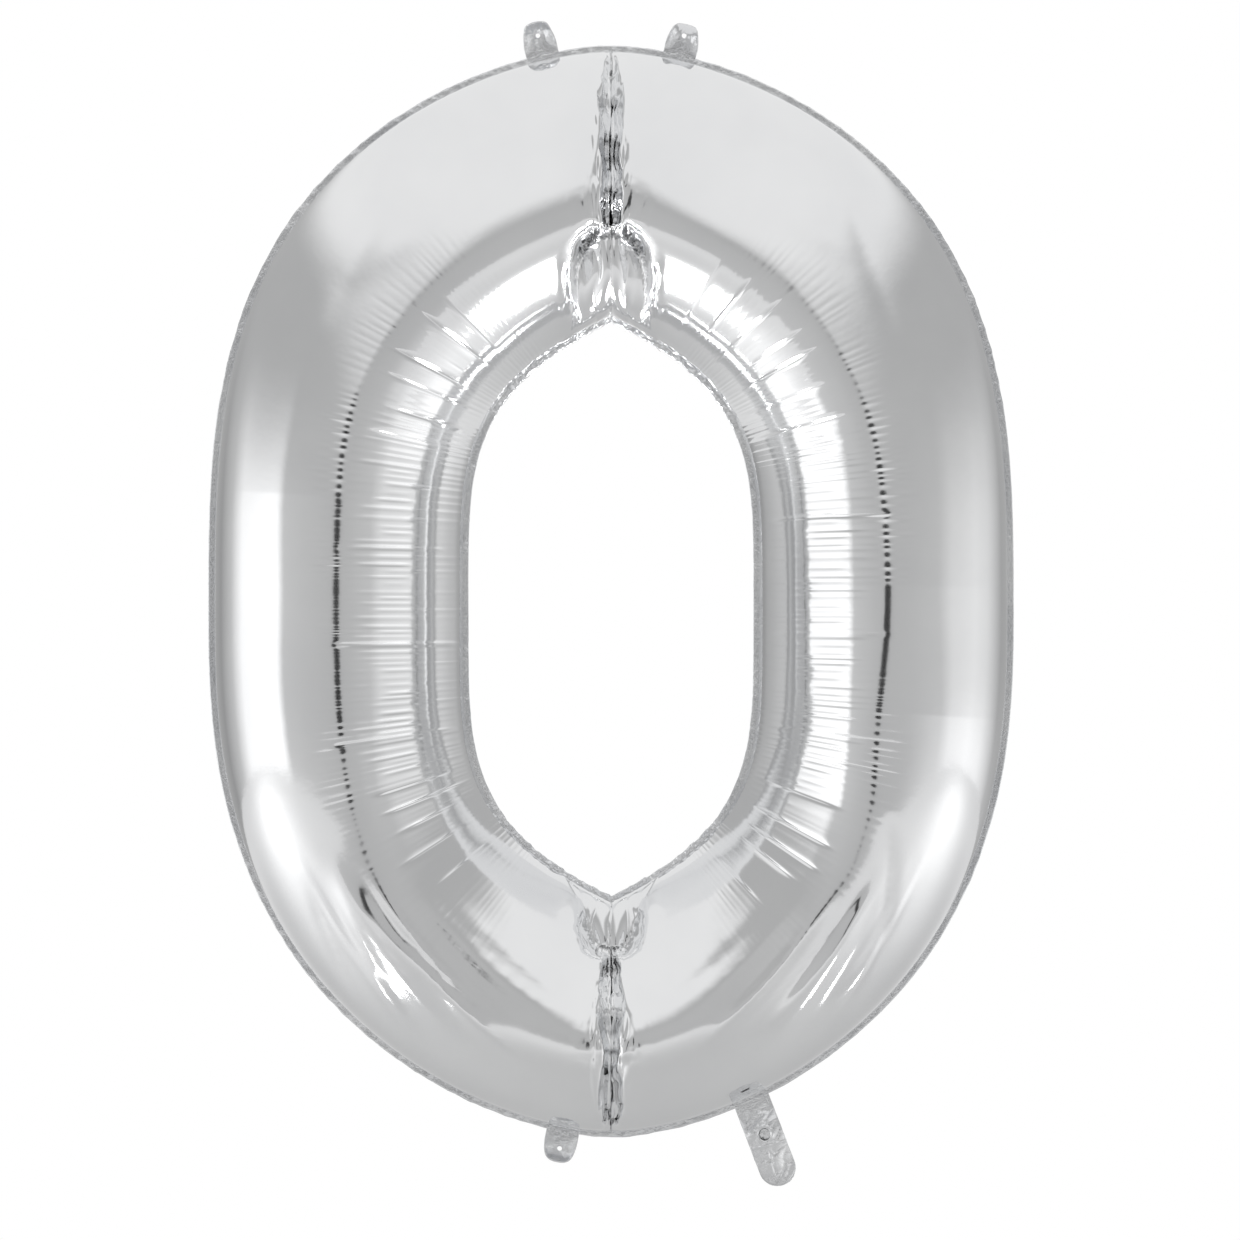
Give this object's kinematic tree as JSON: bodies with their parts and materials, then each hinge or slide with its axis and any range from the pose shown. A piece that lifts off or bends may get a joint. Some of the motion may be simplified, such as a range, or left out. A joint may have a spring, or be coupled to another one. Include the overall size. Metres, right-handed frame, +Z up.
{
  "type": "foil number balloon",
  "caption": "Inflated silver foil balloon in the shape of a figure zero, with hanging tabs and a flat filling neck.",
  "frame": {"origin": "midway between the two top hanging holes, in the seam plane", "axes": "+Z up the figure, -Y towards its front, +X to the viewer's right"},
  "size_m": [0.634, 0.1844, 0.9185],
  "materials": {
    "foil": "mirror-bright metallised film",
    "seam": "heat-sealed metallised film, finely crinkled",
    "valve_film": "clear film"
  },
  "bodies": {
    "envelope": {"front_foil_panel": "foil", "rear_foil_panel": "foil", "outer_seam_bond": "seam", "hole_seam_bond": "seam", "top_crease_weld": "seam", "foot_crease_weld": "seam", "valve_throat": "valve_film"},
    "left_tab": {"left_hanging_tab": "foil"},
    "right_tab": {"right_hanging_tab": "foil"},
    "lower_tab": {"foot_tab": "foil"},
    "filling_neck": {"neck_front_ply": "foil", "neck_rear_ply": "foil", "neck_edge_seal": "seam"},
    "valve_sleeve": {"valve_front_ply": "valve_film", "valve_rear_ply": "valve_film", "valve_side_welds": "valve_film"}
  },
  "joints": [
    {"name": "left_tab_fold", "type": "hinge", "parent": "envelope", "child": "left_tab", "pos_m": [-0.05434, 0, -0.01364], "axis": [0.9742, 0, 0.2255], "range_deg": [-80, 80], "stiffness_Nm_per_rad": 0.002},
    {"name": "right_tab_fold", "type": "hinge", "parent": "envelope", "child": "right_tab", "pos_m": [0.05434, 0, -0.01364], "axis": [0.9742, 0, -0.2255], "range_deg": [-80, 80], "stiffness_Nm_per_rad": 0.002},
    {"name": "foot_tab_fold", "type": "hinge", "parent": "envelope", "child": "lower_tab", "pos_m": [-0.03819, 0, -0.86406], "axis": [0.9812, 0, -0.1928], "range_deg": [-80, 80], "stiffness_Nm_per_rad": 0.002},
    {"name": "neck_fold", "type": "hinge", "parent": "envelope", "child": "filling_neck", "pos_m": [0.11172, 0, -0.84107], "axis": [0.9336, 0, 0.3584], "range_deg": [-90, 90], "stiffness_Nm_per_rad": 0.002},
    {"name": "valve_sway", "type": "hinge", "parent": "envelope", "child": "valve_sleeve", "pos_m": [0.10813, 0, -0.83174], "axis": [0.9336, 0, 0.3584], "range_deg": [-12, 12], "stiffness_Nm_per_rad": 0.002}
  ]
}
